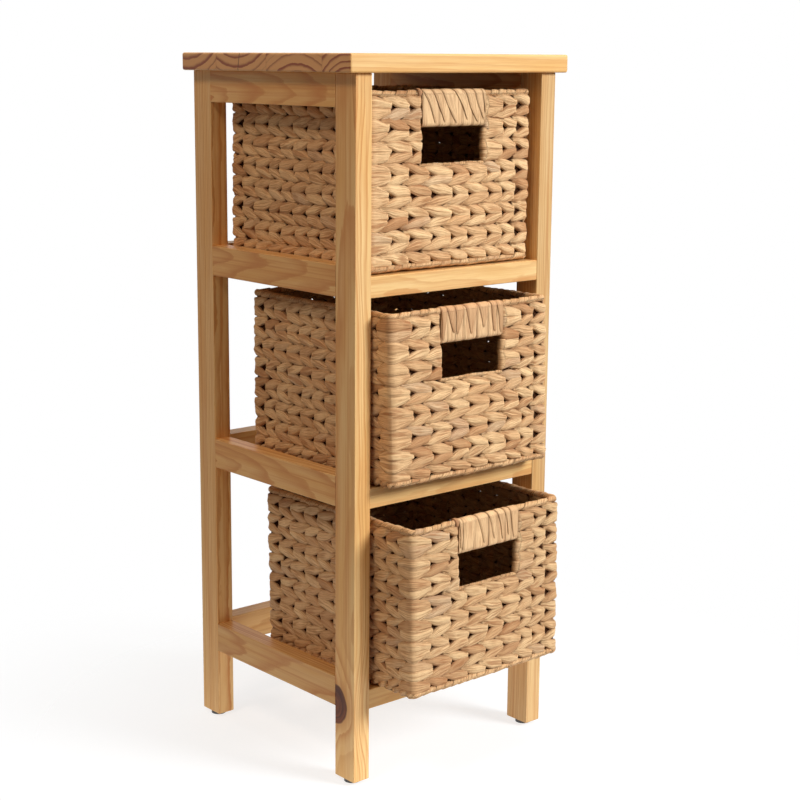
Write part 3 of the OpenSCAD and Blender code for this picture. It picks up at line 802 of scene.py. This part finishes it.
            # deep paints shade on each stem where it lies behind the other.
            parts.append(sweep(centre + self.place, flat(outward), UPWARDS, size, size * 1.1, s,
                               lookup(seed + 5, turn, strand), lookup(seed + 7, turn, strand),
                               0.5 + 0.5 * np.cos(angle), closed=False, phase=angle * 0.2))
        return parts

    def top_rim(self):
        """The wound upper rim, which ends at the grip on both sides."""
        right, left = self.front_s(GRIP_WIDE / 2) - 1, self.front_s(-GRIP_WIDE / 2) + self.length + 1
        return [self.wrap(TOP_RIM + 0.5, 3.7, right, left, 12.0, 1.0, self.seed + 1)]

    def bottom_rim(self):
        """The lower edge: wound along the front and twisted along the other sides."""
        start, stop = self.bounds[1] - 2, self.bounds[2] + 4
        wound = self.wrap(LOW_RIM - 0.8, 3.5, start - 6, stop, 13.0, 0.8, self.seed + 2, out=0.9)
        twisted = self.rope(LOW_RIM + 0.1, 4.5, stop - 3, self.length + start - 1, 21.0, self.seed + 4, 0.2)
        return [wound] + twisted

    def hole_edge(self):
        """The wound wire under the hand hole."""
        left, right = self.front_s(-43.5), self.front_s(43.5)
        return [self.wrap(HOLE_LOW - 2.3, 2.2, left, right, 8.0, 0.4, self.seed + 6, out=0.6)]

    def grip(self, strips, lashing, dark):
        """Flat strips side by side round the bar over the hand hole, and a lashing beside them."""
        parts = []
        radius, tall, middle = 4.0, TALL - HOLE_HIGH, (TALL + HOLE_HIGH) / 2
        arc, line = math.pi * radius, tall - 2 * radius

        # The outline of the bar's section runs down the front, round below and up behind.
        n = 72
        u = np.arange(n) * 2 * (arc + line) / n
        half = np.where(u < arc + line, -1.0, 1.0)
        run = np.mod(u, arc + line)
        angle = np.maximum(run - line, 0) / radius
        out_y, out_z = half * np.cos(angle), half * np.sin(angle)
        y = radius * out_y
        z = half * (np.minimum(run, line) - line / 2) + radius * out_z
        down = np.clip(0.5 - z / tall, 0, 1)

        def chances(number, k):
            return [float(lookup(self.seed + number, j, k)) for j in range(7)]

        def band(x, wide, thick, lift, mark, tone, kind):
            centre = self.at(x, y + out_y * lift - self.deep / 2, middle + z + out_z * lift)
            normal = np.column_stack([np.zeros(n), out_y, out_z])
            parts.append(sweep(centre, normal, SIDEWAYS, thick, wide, u, tone, kind, 1.0, ring=20,
                               ridge=0.10, phase=mark * 6.28, square=0.6))

        # A layer below fills the gaps between the strips.
        ends = [0.0] + [(one[2] + two[2]) / 2 for one, two in zip(strips, strips[1:])] + [GRIP_WIDE]
        for k, (left, right) in enumerate(zip(ends, ends[1:])):
            q = chances(41, k)
            x = (left + right) / 2 - GRIP_WIDE / 2 + 0.3 * np.sin(u / 9 + q[1] * 6)
            band(x, (right - left) / 2 + 0.4, 1.1, -0.6, q[6], 0.3 + 0.4 * q[4], 0.2 + 0.5 * q[5])
        for k, (top_left, top_right, low_left, low_right, tip) in enumerate(strips):
            q = chances(47, k)
            share = np.clip(down / tip, 0, 1)
            bend = share + 0.22 * (q[0] - 0.35) * np.sin(share * math.pi)
            left = top_left + (low_left - top_left) * bend
            right = top_right + (low_right - top_right) * bend
            wide = np.maximum((right - left) / 2, 0.15)
            x = np.clip((left + right) / 2, wide - 0.4, GRIP_WIDE + 0.4 - wide) - GRIP_WIDE / 2
            x = x + 0.35 * np.sin(share * (4 + 5 * q[1]) + 6 * q[3])
            lift = 0.1 + 0.3 * q[2] - 1.6 * smooth(0.86, 1.0, share)
            tone, kind = 0.1 + 0.8 * q[4], 0.3 + 0.57 * q[5]
            if dark:
                tone, kind = 0.9 + 0.1 * q[4], 0.89 + 0.03 * q[5]
            band(x, wide, 1.15, lift, q[6], tone, kind)
        if lashing:
            turn = np.arange(24) * math.pi / 12
            normal = np.column_stack([np.zeros(24), np.cos(turn), np.sin(turn)])
            centre = self.at(lashing, -self.deep / 2, TOP_RIM + 0.5) + 4.2 * normal
            parts.append(sweep(centre, normal, SIDEWAYS, 1.0, 2.3, turn * 4.6, 0.9, 1.0, 1.0))
        return parts

    def mat(self):
        """The woven base: twined rows that lie flat."""
        parts = []
        half_wide, half_deep = self.wide / 2 - 1.5, self.deep / 2 - 1.5
        round_off = 4.5
        count = int(2 * half_deep / ROW_TALL)
        step = 2.0
        for row in range(count):
            y = -half_deep + (row + 0.5) * 2 * half_deep / count
            past = max(0.0, abs(y) - (half_deep - round_off))
            reach = half_wide - round_off + math.sqrt(max(0.0, round_off ** 2 - past ** 2)) + 2
            x = np.arange(-reach, reach, step)
            lean = 1 if row % 2 else -1
            for strand in (0, 1):
                turns = x / 24.0 + 0.13 * lookup(self.seed, row, 5) + strand
                turn = np.round(turns)
                angle = (turns - turn) * math.pi
                side = np.where(np.mod(turn, 2) == 0, 1.0, -1.0)
                belly = np.cos(angle)
                centre = self.at(x, y + lean * side * 2.0 * np.sin(angle),
                                 3.9 - side * 1.75 * np.clip(belly, 0, 1) ** 0.75)
                shear = lean * 0.5 * belly[:, None] * SIDEWAYS
                # deep paints shade where the stems cross, at the ends of their turns.
                parts.append(sweep(centre, (0.0, 0.0, -1.0), (0.0, 1.0, 0.0), 2.0, 3.8 + 2.2 * belly, x,
                                   lookup(self.seed + 51, turn, row), lookup(self.seed + 52, turn, row),
                                   0.25 + 0.75 * belly, closed=False, ring=8, shear=shear))
        return parts

    def rod(self, x, y, z, radius, closed=False):
        """A wire through these places in the basket."""
        points = self.at(x, y, z)
        ahead = np.gradient(points, axis=0)
        lies = np.abs(ahead[:, 2]) < 0.5 * np.linalg.norm(ahead, axis=1)
        up = np.where(lies[:, None], UPWARDS, (0.0, 1.0, 0.0))
        normal = np.cross(ahead, up)
        normal /= np.linalg.norm(normal, axis=1)[:, None]
        return sweep(points, normal, up, radius, radius, 0, 0, 0, 0, closed=closed, ring=8, ridge=0.0)

    def wires(self):
        """The rings, corner uprights and the hand hole's frame, inside the weave."""
        x, y = self.path(np.arange(0, self.length, 4.0))[0].T
        parts = [self.rod(x, y, z, RIM_WIRE, closed=True) for z in (LOW_RIM, TOP_RIM)]
        corners = [0.0] + [(self.bounds[i] + self.bounds[i + 1]) / 2 for i in (2, 4, 6)]
        for x, y in self.path(np.array(corners))[0]:
            parts.append(self.rod(x, y, np.linspace(LOW_RIM, TOP_RIM, 5), UPRIGHT_WIRE))
        for x in (-HOLE_WIRE, HOLE_WIRE):
            z = np.linspace(HOLE_LOW - 4.4, TOP_RIM, 5)
            parts.append(self.rod(x, -self.deep / 2, z, UPRIGHT_WIRE))
        for z in (HOLE_LOW - 3, HOLE_HIGH + 3):
            x = np.linspace(-HOLE_WIRE, HOLE_WIRE, 5)
            parts.append(self.rod(x, -self.deep / 2, z, CROSS_WIRE))
        return parts

    def stakes(self):
        """The upright stems that the rows are woven round. They stop under the hand hole."""
        parts = []
        for run, crossings in self.runs.items():
            ends = np.concatenate([[0.0], crossings])
            for i, t in enumerate((ends[:-1] + ends[1:]) / 2):
                s = t if run == RIGHT else self.length - t
                (x, y), outward, onward = (values[0] for values in self.path(np.array([s])))
                under_hole = y < -self.deep / 2 + 4 and abs(x) < 47
                z = np.linspace(6.0, HOLE_LOW - 3 if under_hole else ROWS_HIGH, 9)
                # A deep of 0.05 paints the stakes almost wholly in shade.
                parts.append(sweep(self.at(x, y, z), (*outward, 0.0), (*onward, 0.0), 1.1, 1.7, z,
                                   lookup(self.seed + 61, i, run), 0.5, 0.05, closed=False, ring=6))
        return parts


def own(piece, body, slot_name, *nodes):
    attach(piece, body)
    if nodes:
        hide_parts(*nodes)


def baskets():
    # The middle and lower weaves are darkened, by 0.98 and 0.9, as painted shade, and dark sets how dark the
    # painted shade in the hollows is.
    weaves = {"upper": stem("woven_stems", WOVEN), "middle": stem("woven_stems_b", WOVEN, 0.98),
              "lower": stem("woven_stems_c", WOVEN, 0.9)}
    wrapped = stem("wrapped_stems", WRAPPED, dark=0.75)
    strip = stem("grip_strips", STRIPS, dark=0.6, fibrous=0.5)
    wire = metal("iron_wire", linear(96, 84, 74), 0.5, linear(120, 78, 50))
    lashings = {"upper": -45.0, "middle": None, "lower": -44.0}
    for level, stance in STANCES.items():
        basket = Basket(level, **stance)
        name, weave = level + "_basket", weaves[level]
        grip = basket.grip(GRIPS[level], lashings[level], dark=level == "middle")
        for label, parts, material, slot_name, nodes in (
                ("weave", basket.walls(), weave, "weave", ["walls"]),
                ("stakes", basket.stakes(), weave, "weave", []),
                ("mat", basket.mat(), weave, "weave", ["base"]),
                ("wound_rim", basket.top_rim(), wrapped, "wrap", ["top_rim"]),
                ("lower_edge", basket.bottom_rim(), wrapped, "wrap", ["bottom_rim"]),
                ("wound_grip", grip, strip, "wrap", ["grip"]),
                ("hole_edge", basket.hole_edge(), wrapped, "wrap", []),
                ("rods", basket.wires(), wire, "wire", ["wires"])):
            parts = [(basket.stand(points), quads, values) for points, quads, values in parts]
            piece = build(f"{name}_{label}", parts, material)
            own(piece, name, slot_name, *(f"{name}_{node}" for node in nodes))


# Finishes of the body frame

EASED = {"top_panel": 2.2, "front_left_leg": 0.9, "front_right_leg": 0.9, "back_left_leg": 0.9,
         "back_right_leg": 0.9}
STAVES = ((-73.8, -117, 668), (13.7, -38, 640), (98.2, 59, 776), (160.0, 146, 774))
PANEL_TINT = (0.98, 0.95, 0.91)
# painted shade that darkens the front right leg
SHADED_TINT = (0.82, 0.82, 0.86)
RAIL_TINT = (0.94, 0.88, 0.80)
# the rails' redder tint with painted shade added, for the lowest rails
LOW_RAIL_TINT_AND_PAINTED_SHADE = (0.78, 0.72, 0.66)
LEVELS = ("upper", "middle", "lower")


def eased(node, material, radius):
    """The node's block with its sharp edges taken off, as sanded boards have them."""
    low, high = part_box(node)
    bm = bmesh.new()
    bmesh.ops.create_cube(bm, size=1.0)
    for vert in bm.verts:
        vert.co = [(lo + hi) / 2 + share * (hi - lo) for lo, hi, share in zip(low, high, vert.co)]
    bmesh.ops.bevel(bm, geom=bm.edges[:], offset=radius * MM, segments=4, profile=0.5, affect="EDGES")
    mesh = bpy.data.meshes.new(node + "_eased")
    bm.to_mesh(mesh)
    bm.free()
    smooth_area = 2e-4  # faces smaller than this, in square metres, are shaded smooth
    mesh.polygons.foreach_set("use_smooth", np.array([face.area < smooth_area for face in mesh.polygons]))
    own(add_piece(node + "_eased", mesh, material), "frame", "pine", node)


def give(node, material):
    if node in EASED:
        eased(node, material, EASED[node])
        return
    slots = frame["nodes"][node].data.materials
    slots.clear()
    slots.append(material)


def middle_of(node):
    """The middle of a node's box, in millimetres."""
    return [(low + high) / 2 / MM for low, high in zip(*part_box(node))]


def finish_frame():
    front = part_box("front_left_leg")[0].y / MM
    give("top_panel", pine("pine_panel", "x", (0, 0), ring=7.4, seed=2.0, stray=8.0, tilt=0.03,
                           contrast=0.6, tint=PANEL_TINT, staves=STAVES))
    give("front_left_leg", pine("pine_leg_a", "z", (-190, front + 4), ring=5.4, seed=1.0,
                                knot=(front + 31, 80, 20, 22), contrast=1.15))
    give("front_right_leg", pine("pine_leg_b", "z", (60, front - 60), ring=3.2, seed=4.0, tint=SHADED_TINT))
    give("back_left_leg", pine("pine_leg_c", "z", (-150, 250), ring=2.6, seed=6.0, contrast=1.45,
                               stray=10.0))
    give("back_right_leg", pine("pine_leg_d", "z", (190, 190), ring=3.4, seed=9.0))
    side_rails = [(side, level) for level in ("top", *LEVELS) for side in ("left", "right")]
    for k, (side, level) in enumerate(side_rails, 1):
        node = f"{side}_{level}_rail"
        pith = (148 if side == "right" else -96, middle_of(node)[2] - 9 + 5 * (k % 4))
        give(node, pine(f"pine_{side}_{level}", "y", pith, ring=4.6, seed=12.0 + k, tilt=0.07, contrast=1.35,
                        tint=LOW_RAIL_TINT_AND_PAINTED_SHADE if level == "lower" else RAIL_TINT))
    cross_rails = [(part, level) for level in LEVELS for part in ("front", "support", "back")]
    for k, (part, level) in enumerate(cross_rails, 9):
        node = f"{part}_{level}_rail"
        _, y, z = middle_of(node)
        pith = (y + 30, z - 8)
        give(node, pine(f"pine_{part}_{level}", "x", pith, ring=4.4, seed=30.0 + k, tilt=0.02))
    give("side_dowels", pine("beech_side", "y", (0, 0), ring=2.0, seed=70.0, contrast=0.4))
    give("cross_dowels", pine("beech_cross", "x", (0, 0), ring=2.0, seed=75.0, contrast=0.4))
    give("top_screws", metal("zinc_screws", linear(196, 198, 200), 0.28, linear(150, 150, 148)))
    give("foot_glides", plastic("glide_plastic", linear(70, 70, 70)))


# Stage

LAMPS = (  # name, place, target, watts, size and colour
    ("key", (1.4, -2.9, 2.0), (0, 0, 0.40), 135, 1.3, (0.96, 0.985, 1.0)),
    ("top", (0.2, 0.1, 3.2), (0, 0, 0.7), 24, 2.0, (1.0, 0.96, 0.92)),
    ("left", (-1.85, -0.5, 2.75), (0, 0, 0.4), 25.0, 0.8, (1.0, 0.78, 0.60)),
)
WORLD_LIGHT = (1.0, 0.81, 0.67, 1)
WORLD_STRENGTH = 0.15
FLOOR_HALF = 40.0
FLOOR_COLOUR = (0.31, 0.33, 0.35, 1)
WHITE = (1, 1, 1, 1)


def world():
    """White where it is seen, also in a reflection, and a dim warm light elsewhere."""
    scene = bpy.context.scene
    scene.world = bpy.data.worlds.new("world")
    g = Graph(scene.world)
    rays = g.add("LightPath").outputs
    seen = g.math("MAXIMUM", rays["Is Camera Ray"], rays["Is Glossy Ray"])
    seen = g.math("MAXIMUM", seen, rays["Is Transmission Ray"])
    lit = g.fill(g.add("Background"), WORLD_LIGHT, WORLD_STRENGTH)
    white = g.fill(g.add("Background"), WHITE, 1.0)
    g.link(g.fill(g.add("MixShader"), seen, lit, white), g.add("OutputWorld").inputs[0])


def lamp(name, place, target, power, size, colour):
    data = bpy.data.lights.new(name, "AREA")
    data.energy = power
    data.shape = "DISK"
    data.size = size
    data.color = colour
    light = bpy.data.objects.new(name, data)
    light.location = place
    light.rotation_euler = (Vector(target) - Vector(place)).to_track_quat("-Z", "Y").to_euler()
    bpy.context.scene.collection.objects.link(light)


def floor_material():
    """A white that takes shadows, and that clears away from the object."""
    g = Surface("floor_white")
    g.shade(Base_Color=FLOOR_COLOUR, Roughness=0.9, Specular_IOR_Level=0.1, Emission_Color=WHITE,
            Emission_Strength=0.75)
    away = g.add("VectorMath", operation="LENGTH")
    g.fill(away, g.place)
    clear = g.add("BsdfTransparent").outputs[0]
    clearing = g.step(away.outputs["Value"], 0.15, 0.6)
    g.link(g.fill(g.add("MixShader"), clearing, g.shader.outputs[0], clear), g.out.inputs[0])
    return g.material


def stage():
    bpy.context.scene.view_settings.view_transform = "Standard"
    world()
    for settings in LAMPS:
        lamp(*settings)
    mesh = bpy.data.meshes.new("floor")
    corners = [(x * FLOOR_HALF, y * FLOOR_HALF, 0) for x, y in ((-1, -1), (1, -1), (1, 1), (-1, 1))]
    mesh.from_pydata(corners, [], [(0, 1, 2, 3)])
    floor = add_piece("floor", mesh, floor_material())


camera()
stage()
finish_frame()
baskets()
